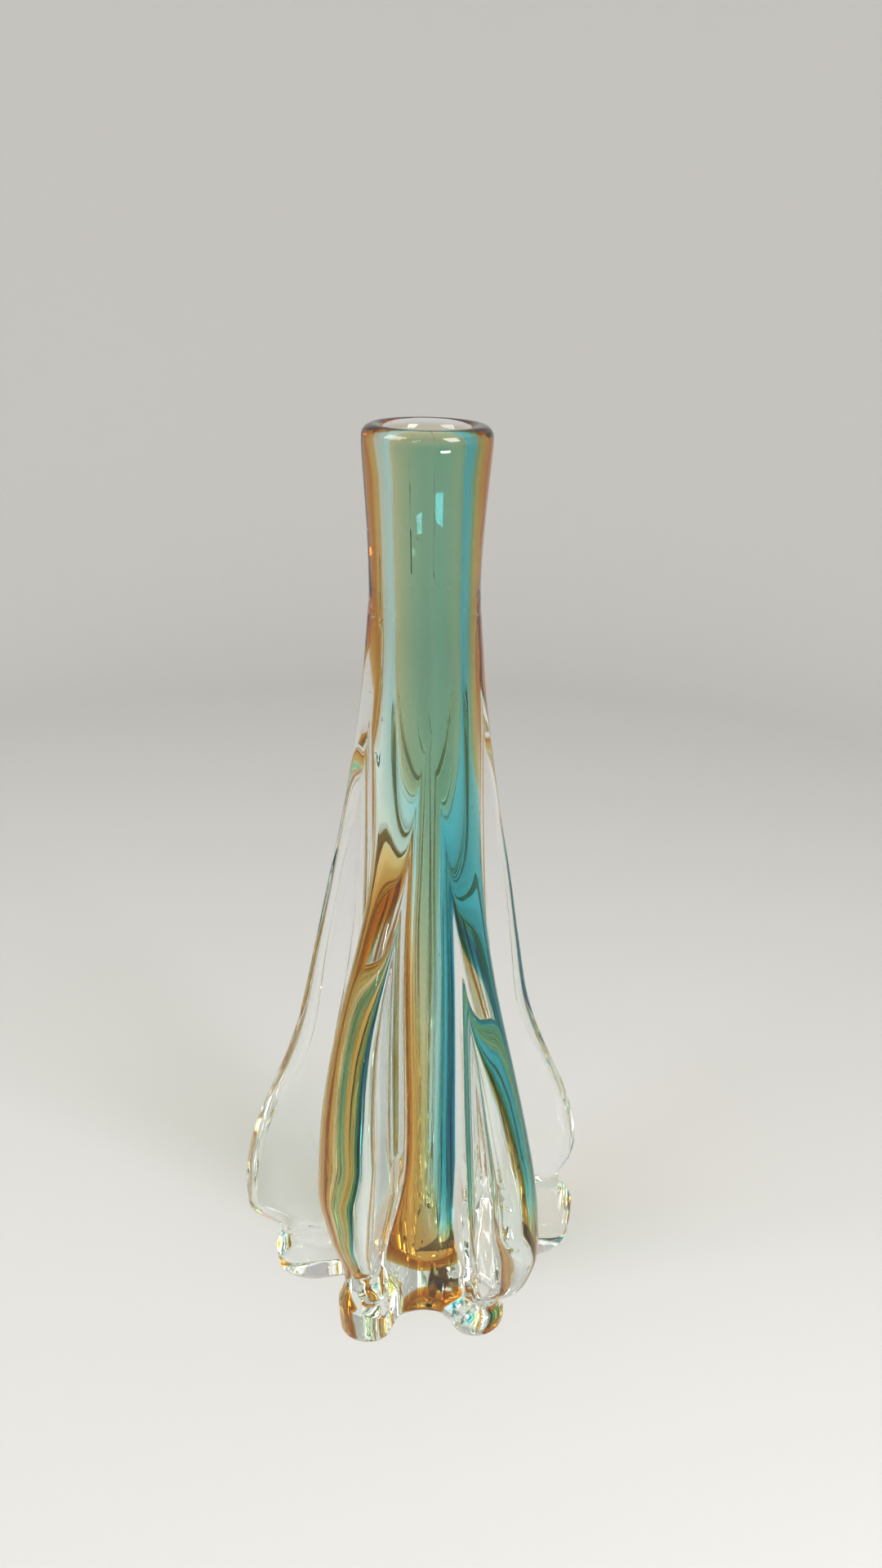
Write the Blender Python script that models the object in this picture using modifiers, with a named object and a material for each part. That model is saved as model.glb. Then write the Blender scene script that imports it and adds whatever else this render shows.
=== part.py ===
"""Tall cased-glass vase: a clear casing with six pulled fins over a turquoise sheet and an amber cup.

Run with: blender --background --python part.py
Metres, +Z up. The origin is the middle of the ground base, on the table. The front of the vase faces -Y.
Azimuths are in degrees round +Z, from the front, and grow towards +X.
"""

import bmesh
import bpy
import numpy as np
from mathutils import Matrix

# Whole vase
FIN_HEIGHT = 0.2900  # table to where the fins have died into the neck
NECK_LENGTH = 0.0520  # from there to the top of the lip

# Trunk of the clear casing, between the fins
VALLEY_RADIUS = 0.0320  # just above the base
NECK_WALL = 0.0049  # clear glass outside the cup at the waist, where the fins end
LIP_RADIUS = 0.0212
LIP_ROUND = 0.0038
LIP_FLAT = 0.0004
BASE_EDGE_ROUND = 0.0030

# Fins
FIN_AZIMUTHS = (-25.5, 45.0, 101.0, 160.0, 220.0, 279.0)
BELLY_REACH = 0.0690
BELLY_HEIGHT = 0.0510
NOTCH_REACH = 0.0560
NOTCH_HEIGHT = 0.0230
HEEL_REACH = 0.0575
HEEL_HEIGHT = 0.0130
FOOT_REACH = 0.0490
WEB_HALF = 0.0065
BELLY_HALF = 0.0115
PINCH_HALF = 0.0060
HEEL_HALF = 0.0098
ROOT_DEPTH = 0.0115  # how deep inside the waist a fin ends
ROOT_BLEND = 0.0140  # rounding between fins and trunk at the waist
GROOVE_BLEND = 0.0120  # the same at the base
# One for each fin, in the order of FIN_AZIMUTHS: the fins were drawn out by hand, and no two are alike
BELLY_REACH_SHARES = (0.935, 0.935, 0.985, 1.000, 0.970, 1.000)
BELLY_HEIGHT_SHARES = (1.50, 0.80, 1.04, 1.10, 0.95, 0.94)
BELLY_UNDER_SHARES = (0.64, 0.83, 0.75, 0.85, 0.80, 0.96)
SHOULDER_SHARES = (0.19, 0.11, -0.025, 0.07, 0.05, 0.00)
NOTCH_HEIGHT_SHARES = (1.18, 0.45, 1.58, 1.05, 1.20, 0.94)
NOTCH_REACH_SHARES = (0.92, 0.88, 1.10, 1.02, 1.04, 0.98)
HEEL_REACH_SHARES = (0.94, 0.93, 1.19, 1.03, 1.07, 1.00)
FOOT_REACH_SHARES = (1.06, 1.08, 1.33, 1.08, 1.15, 1.12)
FOOT_TWISTS = (2.0, -8.0, 0.0, 3.0, -4.0, 0.0)  # degrees that a foot stands from its fin's azimuth
THICKNESS_SHARES = (1.00, 1.00, 0.72, 0.90, 0.85, 0.72)  # of WEB_HALF and BELLY_HALF
NOSE_LENGTH_SHARES = (0.90, 0.90, 1.30, 1.10, 1.10, 1.30)  # of a fin's round edge, in half thicknesses
ROOT_DEPTH_SHARES = (1.5, 1.5, 1.0, 1.0, 1.0, 1.0)
FLANK_SLOPE_SHARE = 0.10  # how fast a fin's flanks draw in towards its root
GROOVE_BEND_SHARE = 0.25  # how far a groove's floor bends out at the fins at the base, in its radius

# Amber cup, which holds the water
CUP_RADIUS = 0.0135  # in the neck
CUP_FOOT_RADIUS = 0.0190
CUP_FOOT_ROUND = 0.0080  # height of the round under the cup
CUP_WALL = 0.0020  # in the neck
CUP_FOOT_WALL = 0.0030
CUP_FLOOR = 0.0040
CUP_FLOOR_HEIGHT = 0.0080  # table to the underside of the cup
LIP_OVER_CUP = 0.0042  # depth of the clear lip that covers the cup's rim
CORE_LEAN = 0.0050  # how far the foot of cup, sheet and bore lies to the right of their top

# Turquoise sheet, wrapped part of the way round the cup and twisting as it rises
SHEET_THICKNESS = 0.0020
SHEET_EDGE = 0.0006
SHEET_FOOT_AZIMUTHS = (20.0, 118.0)
SHEET_TOP_AZIMUTHS = (-80.0, 82.0)
SHEET_TOP_DROP = 0.0020  # below the cup's rim
SHEET_FOOT_RISE = 0.0150  # above the cup's underside

LAYER_GAP = 0.0003  # stands for the fused faces between the layers
OVERRUN = 0.0040  # how far the mouth runs down into the space cut for the cup

# Heights up a fin from belly to top, and how far out its edge stands there between its root at the waist and
# the belly
REACH_CURVE_SHARES = (
    (0.000, 1.000),
    (0.060, 0.972),
    (0.126, 0.898),
    (0.190, 0.797),
    (0.252, 0.702),
    (0.310, 0.630),
    (0.430, 0.530),
    (0.542, 0.442),
    (0.650, 0.348),
    (0.755, 0.258),
    (0.850, 0.166),
    (0.950, 0.077),
    (1.000, 0.000),
)
# Heights of the trunk between table and waist, and its radius there between the waist's and the valley's
TRUNK_CURVE_SHARES = (
    (0.00, 1.00),
    (0.05, 0.98),
    (0.18, 0.76),
    (0.34, 0.46),
    (0.52, 0.24),
    (0.70, 0.11),
    (1.00, 0.00),
)
# Heights of the cup between its foot's round and its rim, and its radius there between neck and foot
CUP_CURVE_SHARES = (
    (0.00, 1.00),
    (0.08, 0.97),
    (0.21, 0.74),
    (0.38, 0.46),
    (0.55, 0.23),
    (0.71, 0.08),
    (0.85, 0.00),
    (1.00, 0.12),
)
LIP_WIDEST_SHARE = 0.89  # height of the lip's widest ring up the neck
BELLY_UNDER_HEIGHT_SHARE = 0.55  # height between notch and belly where BELLY_UNDER_SHARES holds
SHOULDER_TOP_SHARE = 0.56  # height between belly and waist where a fin's shoulder ends
FOOT_TURN_SHARE = 0.30  # height below the heel where the foot starts to turn in
FOOT_TURN_REACH_SHARE = 0.75
FOOT_TWIST_HEIGHT_SHARE = 1.60  # height, in NOTCH_HEIGHT, up to which a foot stands turned

MID_WEB_SHARE = 0.50  # height between belly and waist from which a fin keeps its web's thickness
VALLEY_SHARE = 0.50  # where a valley's middle lies between two fins
MOUTH_TAPER_HEIGHT_SHARE = 0.40  # height between cup rim and lip of the mouth's taper
MOUTH_TAPER_REACH_SHARE = 0.50  # how far the mouth has closed to the bore there
SHEET_SWELL_SHARE = 0.50  # how late the sheet thickens from its ends: 0 is at once, 1 is evenly
SHEET_TWIST_SHARE = 0.70  # how late the sheet twists: near 0 is at its foot, 1 is evenly
BASE_EDGE_STEP_SHARES = (0.12, 0.40, 1.00)
BELLY_ZONE_SHARE = 1.35  # height of the closely spaced sections, in belly heights
TIP_CROWDING_SHARE = 0.90  # extra points where a section turns, in belly half thicknesses for each radian

HALF_FIN_SEGMENTS = 8
BELLY_SECTIONS = 17
TRUNK_SECTIONS = 10
NECK_SECTIONS = 5
TURN_STEPS = 36
CUP_SECTIONS = 18
SHEET_SEGMENTS = 15
SHEET_SECTIONS = 20
ROUND_STEPS = 5
DENSE_SAMPLES = 90
NOSE_SAMPLES = 24
NEVER_ZERO = 1e-6

HEIGHT = FIN_HEIGHT + NECK_LENGTH
WAIST_RADIUS = CUP_RADIUS + NECK_WALL
MOUTH_RADIUS = LIP_RADIUS - 2 * LIP_ROUND - LIP_FLAT
CUP_RIM_HEIGHT = HEIGHT - LIP_OVER_CUP
CUP_FOOT_HEIGHT = CUP_FLOOR_HEIGHT + CUP_FOOT_ROUND  # table to the top of the cup's rounded foot

GLASS = {
    "clear_casing": ((0.93, 0.95, 0.94), 0.02),
    "turquoise_sheet": ((0.05, 0.52, 0.58), 0.02),
    "amber_cup": ((0.86, 0.46, 0.08), 0.02),
}


def clear_scene():
    for obj in list(bpy.data.objects):
        bpy.data.objects.remove(obj)


def new_collection(name):
    collection = bpy.data.collections.new(name)
    bpy.context.scene.collection.children.link(collection)
    return collection


def glass_material(name):
    colour, roughness = GLASS[name]
    material = bpy.data.materials.new(name)
    material.use_nodes = True
    shader = material.node_tree.nodes["Principled BSDF"]
    shader.inputs["Base Color"].default_value = (*colour, 1.0)
    shader.inputs["Roughness"].default_value = roughness
    shader.inputs["Metallic"].default_value = 0.0
    shader.inputs["Transmission Weight"].default_value = 1.0
    return material


def smooth_curve(points):
    """A smooth function through the points (x rising) that never overshoots them: a monotone cubic."""
    x, y = np.array(points, float).T
    step = np.diff(x)
    slope = np.diff(y) / step
    tangent = np.zeros_like(y)
    for i in range(1, len(x) - 1):
        if slope[i - 1] * slope[i] > 0:
            before, after = 2 * step[i] + step[i - 1], step[i] + 2 * step[i - 1]
            tangent[i] = (before + after) / (before / slope[i - 1] + after / slope[i])
    tangent[0], tangent[-1] = slope[0], slope[-1]

    def value(at):
        at = np.clip(at, x[0], x[-1])
        i = np.clip(np.searchsorted(x, at, side="right") - 1, 0, len(step) - 1)
        t = (at - x[i]) / step[i]
        return (
            y[i] * (1 + 2 * t) * (1 - t) ** 2
            + y[i + 1] * t * t * (3 - 2 * t)
            + tangent[i] * step[i] * t * (1 - t) ** 2
            - tangent[i + 1] * step[i] * t * t * (1 - t)
        )

    return value


def between(low, high, share):
    return low + (high - low) * share


def smoothstep(share):
    share = np.clip(share, 0, 1)
    return share * share * (3 - 2 * share)


def trunk_radius_curve():
    """Radius of the casing between the fins, from the table to the lip's widest ring."""
    points = [
        (between(0, FIN_HEIGHT, rise), between(WAIST_RADIUS, VALLEY_RADIUS, out))
        for rise, out in TRUNK_CURVE_SHARES
    ]
    points.append((FIN_HEIGHT + NECK_LENGTH * LIP_WIDEST_SHARE, LIP_RADIUS))
    return smooth_curve(points)


def fin_reach_curve(index):
    """How far the edge of one fin stands from the axis, from the table up."""
    belly = BELLY_REACH * BELLY_REACH_SHARES[index]
    heel = HEEL_REACH * HEEL_REACH_SHARES[index]
    foot = FOOT_REACH * FOOT_REACH_SHARES[index]
    notch = NOTCH_REACH * NOTCH_REACH_SHARES[index]
    notch_height = NOTCH_HEIGHT * NOTCH_HEIGHT_SHARES[index]
    heel_height = HEEL_HEIGHT * NOTCH_HEIGHT_SHARES[index]
    belly_height = BELLY_HEIGHT * BELLY_HEIGHT_SHARES[index]
    points = [
        (0, foot),
        (heel_height * FOOT_TURN_SHARE, between(foot, heel, FOOT_TURN_REACH_SHARE)),
        (heel_height, heel),
        (notch_height, notch),
        (
            between(notch_height, belly_height, BELLY_UNDER_HEIGHT_SHARE),
            between(notch, belly, BELLY_UNDER_SHARES[index]),
        ),
    ]
    root = WAIST_RADIUS - ROOT_DEPTH * ROOT_DEPTH_SHARES[index]
    for rise, out in REACH_CURVE_SHARES:
        swell = SHOULDER_SHARES[index] * np.sin(np.pi * min(rise / SHOULDER_TOP_SHARE, 1)) ** 2
        points.append((between(belly_height, FIN_HEIGHT, rise), between(root, belly, out + swell)))
    return smooth_curve(points)


def fin_half_curve(index):
    """Half the thickness of one fin, from the table up."""
    notch_height = NOTCH_HEIGHT * NOTCH_HEIGHT_SHARES[index]
    heel_height = HEEL_HEIGHT * NOTCH_HEIGHT_SHARES[index]
    belly_height = BELLY_HEIGHT * BELLY_HEIGHT_SHARES[index]
    return smooth_curve(
        [
            (0, HEEL_HALF),
            (heel_height, HEEL_HALF),
            (notch_height, PINCH_HALF),
            (belly_height, BELLY_HALF * THICKNESS_SHARES[index]),
            (between(belly_height, FIN_HEIGHT, MID_WEB_SHARE), WEB_HALF * THICKNESS_SHARES[index]),
            (FIN_HEIGHT, WEB_HALF * THICKNESS_SHARES[index]),
        ]
    )


def smooth_max(first, second, blend):
    """The larger of two lengths, with their corner rounded over the length blend."""
    near = np.maximum(blend - np.abs(first - second), 0) / blend
    return np.maximum(first, second) + near * near * blend / 4


def fin_outline(angle, reach, half, nose_length_share):
    """Distance from the axis to the face of a fin at an angle from its middle. Its edge is half an ellipse,
    and its flanks draw in towards its root."""
    nose = half * nose_length_share
    turn = np.linspace(0, np.pi / 2, NOSE_SAMPLES)
    behind = np.linspace(nose, max(reach, nose + NEVER_ZERO), NOSE_SAMPLES)[1:]
    out = reach - np.concatenate([nose * (1 - np.cos(turn)), behind])
    thick = np.concatenate([half * np.sin(turn), half - FLANK_SLOPE_SHARE * (behind - nose)])
    return np.interp(np.abs(angle), np.arctan2(thick, out), np.hypot(thick, out), right=0)


def off_groove(azimuth):
    """How far a groove's floor has bent out at an azimuth, in radians: 0 in its middle and 1 at a fin."""
    middles, grooves = fin_and_groove_azimuths()
    stops = [(place + turn, 1) for place in middles for turn in (-360, 0, 360)]
    stops += [(place + turn, 0) for place in grooves for turn in (-360, 0, 360)]
    places, values = np.array(sorted(stops)).T
    off = np.interp(np.degrees((azimuth + np.pi) % (2 * np.pi) - np.pi), places, values)
    return (1 - np.cos(np.pi * off)) / 2


def casing_radius(azimuth, height, trunk, reaches, halves):
    """Radius of the clear casing at each azimuth, in radians, at one height."""
    low = 1 - smoothstep(height / FIN_HEIGHT)
    leaned = CORE_LEAN * max(1 - height / FIN_HEIGHT, 0) * np.sin(azimuth)
    radius = trunk(height) * (1 + GROOVE_BEND_SHARE * low * off_groove(azimuth)) + leaned
    blend = between(ROOT_BLEND, GROOVE_BLEND, low)
    twist_share = 1 - smoothstep(height / (NOTCH_HEIGHT * FOOT_TWIST_HEIGHT_SHARE))
    fins = zip(FIN_AZIMUTHS, FOOT_TWISTS, reaches, halves, NOSE_LENGTH_SHARES)
    for place, twist, reach, half, nose in fins:
        angle = azimuth - np.radians(place + twist * twist_share)
        angle = (angle + np.pi) % (2 * np.pi) - np.pi
        radius = smooth_max(radius, fin_outline(angle, reach(height), half(height), nose), blend)
    return radius


def polar(azimuth, radius, height):
    """Points at azimuths from the front, seen from above: azimuth 0 is -Y and 90 is +X."""
    return [(r * np.sin(a), -r * np.cos(a), height) for a, r in zip(azimuth, radius)]


def fin_and_groove_azimuths():
    """Azimuths of the fins, rising, and of the middles of the grooves that follow them."""
    middles = sorted(FIN_AZIMUTHS)
    turned_on = [*middles[1:], middles[0] + 360]
    return middles, [between(here, following, VALLEY_SHARE) for here, following in zip(middles, turned_on)]


def casing_ring(height, trunk, reaches, halves, inset=0.0):
    """One section of the casing: as many points on each half of each fin, closer together where it turns."""
    middles, grooves = fin_and_groove_azimuths()
    stops = sorted([*middles, *grooves])
    ring = []
    for start, end in zip(stops, [*stops[1:], stops[0] + 360]):
        azimuth = np.radians(np.linspace(start, end, DENSE_SAMPLES))
        radius = casing_radius(azimuth, height, trunk, reaches, halves) - inset
        x, y = radius * np.sin(azimuth), -radius * np.cos(azimuth)
        run = np.hypot(np.diff(x), np.diff(y))
        turn = np.abs(np.diff(np.unwrap(np.arctan2(np.diff(y), np.diff(x))), prepend=0))
        turn[0] = 0
        along = np.concatenate([[0], np.cumsum(run + turn * BELLY_HALF * TIP_CROWDING_SHARE)])
        wanted = np.linspace(0, along[-1], HALF_FIN_SEGMENTS + 1)[:-1]
        ring += [(float(np.interp(s, along, x)), float(np.interp(s, along, y)), height) for s in wanted]
    return ring


def round_ring(radius, height, azimuths):
    return polar(azimuths, np.full(len(azimuths), radius), height)


def lofted_body(name, rings, collection, material=None):
    """A closed body through rings of equal count, from first to last, with a flat cap on each end."""
    mesh = bpy.data.meshes.new(name)
    shell = bmesh.new()
    levels = [[shell.verts.new(point) for point in ring] for ring in rings]
    count = len(rings[0])
    for low, high in zip(levels, levels[1:]):
        for i in range(count):
            following = (i + 1) % count
            shell.faces.new((low[i], low[following], high[following], high[i]))
    shell.faces.new(levels[0][::-1])
    shell.faces.new(levels[-1])
    bmesh.ops.recalc_face_normals(shell, faces=shell.faces)
    shell.to_mesh(mesh)
    shell.free()
    mesh.shade_smooth()
    obj = bpy.data.objects.new(name, mesh)
    collection.objects.link(obj)
    if material:
        mesh.materials.append(material)
    return obj


def as_cutter(obj):
    obj.hide_render = True
    obj.display_type = "WIRE"
    return obj


def cut(body, cutter):
    modifier = body.modifiers.new(cutter.name, "BOOLEAN")
    modifier.operation = "DIFFERENCE"
    modifier.object = cutter


def core_radius_curve(neck, foot):
    """Radius of a side that widens from neck to foot, between the rounded foot's top and the cup's rim."""
    points = [
        (between(CUP_FOOT_HEIGHT, CUP_RIM_HEIGHT, rise), between(neck, foot, out))
        for rise, out in CUP_CURVE_SHARES
    ]
    return smooth_curve(points)


def core_side(neck, foot, low, top):
    """Such a side and the round under it, as points (radius, height) from the top to the pole at low."""
    radius = core_radius_curve(neck, foot)
    heights = np.linspace(top, CUP_FOOT_HEIGHT, CUP_SECTIONS)
    side = [(float(radius(height)), float(height)) for height in heights]
    round_height = CUP_FOOT_HEIGHT - low
    for step in range(1, ROUND_STEPS + 2):
        turn = np.pi / 2 * step / (ROUND_STEPS + 1)
        side.append((foot * np.cos(turn), CUP_FOOT_HEIGHT - round_height * np.sin(turn)))
    side[-1] = (0, low)
    return side


def cup_side(extra, top):
    """The cup's outer side, grown by extra."""
    return core_side(CUP_RADIUS + extra, CUP_FOOT_RADIUS + extra, CUP_FLOOR_HEIGHT - extra, top)


def lean(obj):
    """Lean a piece of the core to the right below the cup's rim."""
    drop = CUP_RIM_HEIGHT - CUP_FLOOR_HEIGHT
    shear = Matrix.Identity(4)
    shear[0][2] = -CORE_LEAN / drop
    shear[0][3] = CORE_LEAN * CUP_RIM_HEIGHT / drop
    turned = bpy.data.meshes.new_from_object(obj.evaluated_get(bpy.context.evaluated_depsgraph_get()))
    obj.modifiers.clear()
    turned.transform(shear)
    obj.data = turned
    return obj


def turned_body(name, profile, collection, material=None):
    """A closed body turned from points (radius, height): from the axis, down its outer side, to the axis."""
    mesh = bpy.data.meshes.new(name)
    edges = [(i, i + 1) for i in range(len(profile) - 1)]
    mesh.from_pydata([(radius, 0, height) for radius, height in profile], edges, [])
    obj = bpy.data.objects.new(name, mesh)
    collection.objects.link(obj)
    screw = obj.modifiers.new("turn", "SCREW")
    screw.steps = screw.render_steps = TURN_STEPS
    screw.use_merge_vertices = True
    screw.merge_threshold = LAYER_GAP / TURN_STEPS
    screw.use_smooth_shade = True
    if material:
        mesh.materials.append(material)
    return obj


def make_amber_cup(collection):
    floor = CUP_FLOOR_HEIGHT + CUP_FLOOR
    bore = core_side(CUP_RADIUS - CUP_WALL, CUP_FOOT_RADIUS - CUP_FOOT_WALL, floor, CUP_RIM_HEIGHT)
    profile = bore[::-1] + cup_side(0, CUP_RIM_HEIGHT)
    return lean(turned_body("amber_cup", profile, collection, glass_material("amber_cup")))


def make_cup_space(collection):
    """What the clear casing loses to the cup."""
    top = CUP_RIM_HEIGHT + LAYER_GAP
    return lean(turned_body("cup_space", [(0, top), *cup_side(LAYER_GAP, top)], collection))


def sheet_rings(extra):
    """Closed outlines of the turquoise sheet at rising heights, each grown by extra on every side."""
    radius = core_radius_curve(CUP_RADIUS + LAYER_GAP, CUP_FOOT_RADIUS + LAYER_GAP)
    low, high = CUP_FLOOR_HEIGHT + SHEET_FOOT_RISE, CUP_RIM_HEIGHT - SHEET_TOP_DROP
    rings = []
    for turned in np.linspace(0, 1, SHEET_SECTIONS):
        share = turned ** (1 / SHEET_TWIST_SHARE)
        height = between(low, high, share)
        inner = float(radius(height))
        edges = [between(foot, top, turned) for foot, top in zip(SHEET_FOOT_AZIMUTHS, SHEET_TOP_AZIMUTHS)]
        start, end = np.radians(edges)
        azimuths = np.linspace(start - extra / inner, end + extra / inner, SHEET_SEGMENTS + 1)
        across = np.sin(np.linspace(0, np.pi, SHEET_SEGMENTS + 1))
        along = np.sin(np.pi * share) ** SHEET_SWELL_SHARE
        thickness = SHEET_EDGE + (SHEET_THICKNESS - SHEET_EDGE) * across * along
        face = polar(azimuths, np.full(len(azimuths), inner - extra), height)
        back = polar(azimuths, inner + thickness + extra, height)
        rings.append(face + back[::-1])
    if extra:
        foot = [(x, y, z - extra) for x, y, z in rings[0]]
        top = [(x, y, z + extra) for x, y, z in rings[-1]]
        rings = [foot, *rings, top]
    return rings


def make_turquoise_sheet(collection):
    return lean(lofted_body("turquoise_sheet", sheet_rings(0), collection, glass_material("turquoise_sheet")))


def casing_heights():
    """Heights of the casing's sections: close together up to the belly, wider apart on trunk and neck."""
    base = [0, *(BASE_EDGE_ROUND * share for share in BASE_EDGE_STEP_SHARES)]
    belly = np.linspace(base[-1], BELLY_HEIGHT * BELLY_ZONE_SHARE, BELLY_SECTIONS + 1)[1:]
    trunk = np.linspace(belly[-1], FIN_HEIGHT, TRUNK_SECTIONS + 1)[1:]
    neck = np.linspace(FIN_HEIGHT, FIN_HEIGHT + NECK_LENGTH * LIP_WIDEST_SHARE, NECK_SECTIONS + 1)[1:]
    return np.concatenate([base, belly, trunk, neck])


def base_inset(height):
    """How far the ground base's rounded edge stands in from the outline at a height near the table."""
    if height >= BASE_EDGE_ROUND:
        return 0.0
    rise = 1 - height / BASE_EDGE_ROUND
    return BASE_EDGE_ROUND * (1 - np.sqrt(1 - rise * rise))


def lip_rings(azimuths):
    """Rings over the rounded lip and down the mouth, as far as the cup's space and an overrun into it."""
    rings = []
    crown = HEIGHT - LIP_ROUND
    outer, inner = LIP_RADIUS - LIP_ROUND, MOUTH_RADIUS + LIP_ROUND
    for step in range(1, ROUND_STEPS + 1):
        turn = np.pi / 2 * step / ROUND_STEPS
        rings.append(round_ring(outer + LIP_ROUND * np.cos(turn), crown + LIP_ROUND * np.sin(turn), azimuths))
    for step in range(ROUND_STEPS):
        turn = np.pi / 2 * (1 - step / ROUND_STEPS)
        rings.append(round_ring(inner - LIP_ROUND * np.cos(turn), crown + LIP_ROUND * np.sin(turn), azimuths))
    bore = float(core_radius_curve(CUP_RADIUS - CUP_WALL, CUP_FOOT_RADIUS - CUP_FOOT_WALL)(CUP_RIM_HEIGHT))
    end = CUP_RIM_HEIGHT + LAYER_GAP
    taper = between(MOUTH_RADIUS, bore, MOUTH_TAPER_REACH_SHARE)
    rings.append(round_ring(taper, between(end, crown, MOUTH_TAPER_HEIGHT_SHARE), azimuths))
    rings.append(round_ring(bore, end, azimuths))
    rings.append(round_ring(bore, end - OVERRUN, azimuths))
    return rings


def make_clear_casing(collection, cutters):
    trunk = trunk_radius_curve()
    reaches = [fin_reach_curve(i) for i in range(len(FIN_AZIMUTHS))]
    halves = [fin_half_curve(i) for i in range(len(FIN_AZIMUTHS))]
    rings = [casing_ring(h, trunk, reaches, halves, base_inset(h)) for h in casing_heights()]
    top = np.array(rings[-1])
    rings += lip_rings(np.arctan2(top[:, 0], -top[:, 1]))
    casing = lofted_body("clear_casing", rings, collection, glass_material("clear_casing"))
    cut(casing, as_cutter(make_cup_space(cutters)))
    cut(casing, as_cutter(lean(lofted_body("sheet_space", sheet_rings(LAYER_GAP), cutters))))
    return casing


def main():
    clear_scene()
    vase = new_collection("glass_vase")
    cutters = new_collection("cutters")
    make_amber_cup(vase)
    make_turquoise_sheet(vase)
    make_clear_casing(vase, cutters)


main()
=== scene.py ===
"""A tall vase of cased glass on a pale studio floor: a clear casing with six pulled fins,
a turquoise sheet and an amber cup inside it, and the seeds in the glass.

Laid out as an add-on, and run as a script. Metres, +Z up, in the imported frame. Azimuths go
round +Z from the front of the vase (-Y) towards +X: degrees in the sizes, radians in the code.
"""

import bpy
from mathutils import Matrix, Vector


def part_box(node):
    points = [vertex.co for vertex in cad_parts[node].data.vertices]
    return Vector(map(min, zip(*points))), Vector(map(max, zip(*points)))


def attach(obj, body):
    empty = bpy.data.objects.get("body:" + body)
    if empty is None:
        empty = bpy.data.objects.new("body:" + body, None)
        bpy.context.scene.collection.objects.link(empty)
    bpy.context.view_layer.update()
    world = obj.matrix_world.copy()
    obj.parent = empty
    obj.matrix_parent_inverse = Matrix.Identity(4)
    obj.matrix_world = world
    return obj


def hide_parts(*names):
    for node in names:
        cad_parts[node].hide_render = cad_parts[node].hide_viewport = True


bl_info = {
    "name": "Cased glass vase",
    "version": (1, 0, 0),
    "blender": (4, 5, 0),
    "location": "View3D > Sidebar > Vase",
    "description": "Blows a vase of cased glass round the packed frame, in a pale studio",
    "category": "Add Mesh",
}

from typing import NamedTuple

import bpy
import numpy as np
from bpy.props import FloatProperty, FloatVectorProperty, IntProperty, PointerProperty
from bpy.types import Operator, Panel, PropertyGroup
from mathutils import Matrix, Vector

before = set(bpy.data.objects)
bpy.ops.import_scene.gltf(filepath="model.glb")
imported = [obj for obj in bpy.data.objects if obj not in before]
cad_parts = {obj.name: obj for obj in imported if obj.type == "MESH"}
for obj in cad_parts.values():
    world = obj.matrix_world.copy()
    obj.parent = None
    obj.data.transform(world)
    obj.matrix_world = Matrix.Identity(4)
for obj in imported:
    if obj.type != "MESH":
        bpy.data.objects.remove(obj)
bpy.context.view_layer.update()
CASING_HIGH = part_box("clear_casing")[1]
VASE = bpy.data.collections.new("glass_vase")
bpy.context.scene.collection.children.link(VASE)


class Fin(NamedTuple):
    """One pulled fin. Its shares are of the casing's sizes of those names, or as a comment says."""

    azimuth: float
    belly_reach_share: float
    belly_height_share: float
    belly_under_share: float  # reach just under the belly, between the notch's and the belly's
    shoulder_share: float  # how far its shoulder swells out, between its root and the belly
    notch_height_share: float  # of the heel's height too
    notch_reach_share: float
    heel_reach_share: float
    foot_reach_share: float
    thickness_share: float  # of the casing's belly_half and web_half
    nose_share: float  # length of its rounded edge, in its half thicknesses
    foot_twist: float  # how far its foot stands from its azimuth, in degrees
    root_share: float  # of the casing's root_depth


FINS = (
    Fin(-25.5, 0.935, 1.50, 0.64, 0.19, 1.18, 0.92, 0.94, 1.06, 1.00, 0.90, 2, 1.5),
    Fin(45, 0.935, 0.80, 0.83, 0.11, 0.45, 0.88, 0.93, 1.08, 1.00, 0.90, -8, 1.5),
    Fin(101, 0.985, 1.04, 0.75, -0.025, 1.58, 1.10, 1.19, 1.33, 0.72, 1.30, 0, 1.0),
    Fin(160, 1.000, 1.10, 0.85, 0.07, 1.05, 1.02, 1.03, 1.08, 0.90, 1.10, 3, 1.0),
    Fin(220, 0.970, 0.95, 0.80, 0.05, 1.20, 1.04, 1.07, 1.15, 0.85, 1.10, -4, 1.0),
    Fin(279, 1.000, 0.94, 0.96, 0.00, 0.94, 0.98, 1.00, 1.12, 0.72, 1.30, 0, 1.0),
)
# Heights up a fin from belly to waist, and its edge's place there between its root and the belly
REACH_CURVE_SHARES = (
    (0.000, 1.000), (0.060, 0.972), (0.126, 0.898), (0.190, 0.797), (0.252, 0.702),
    (0.310, 0.630), (0.430, 0.530), (0.542, 0.442), (0.650, 0.348), (0.755, 0.258),
    (0.850, 0.166), (0.950, 0.077), (1.000, 0.000),
)
# Heights between table and waist, and the trunk's radius there between the waist's and the valley's
TRUNK_CURVE_SHARES = (
    (0.00, 1.00), (0.05, 0.98), (0.18, 0.76), (0.34, 0.46), (0.52, 0.24),
    (0.70, 0.11), (1.00, 0.00),
)
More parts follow.
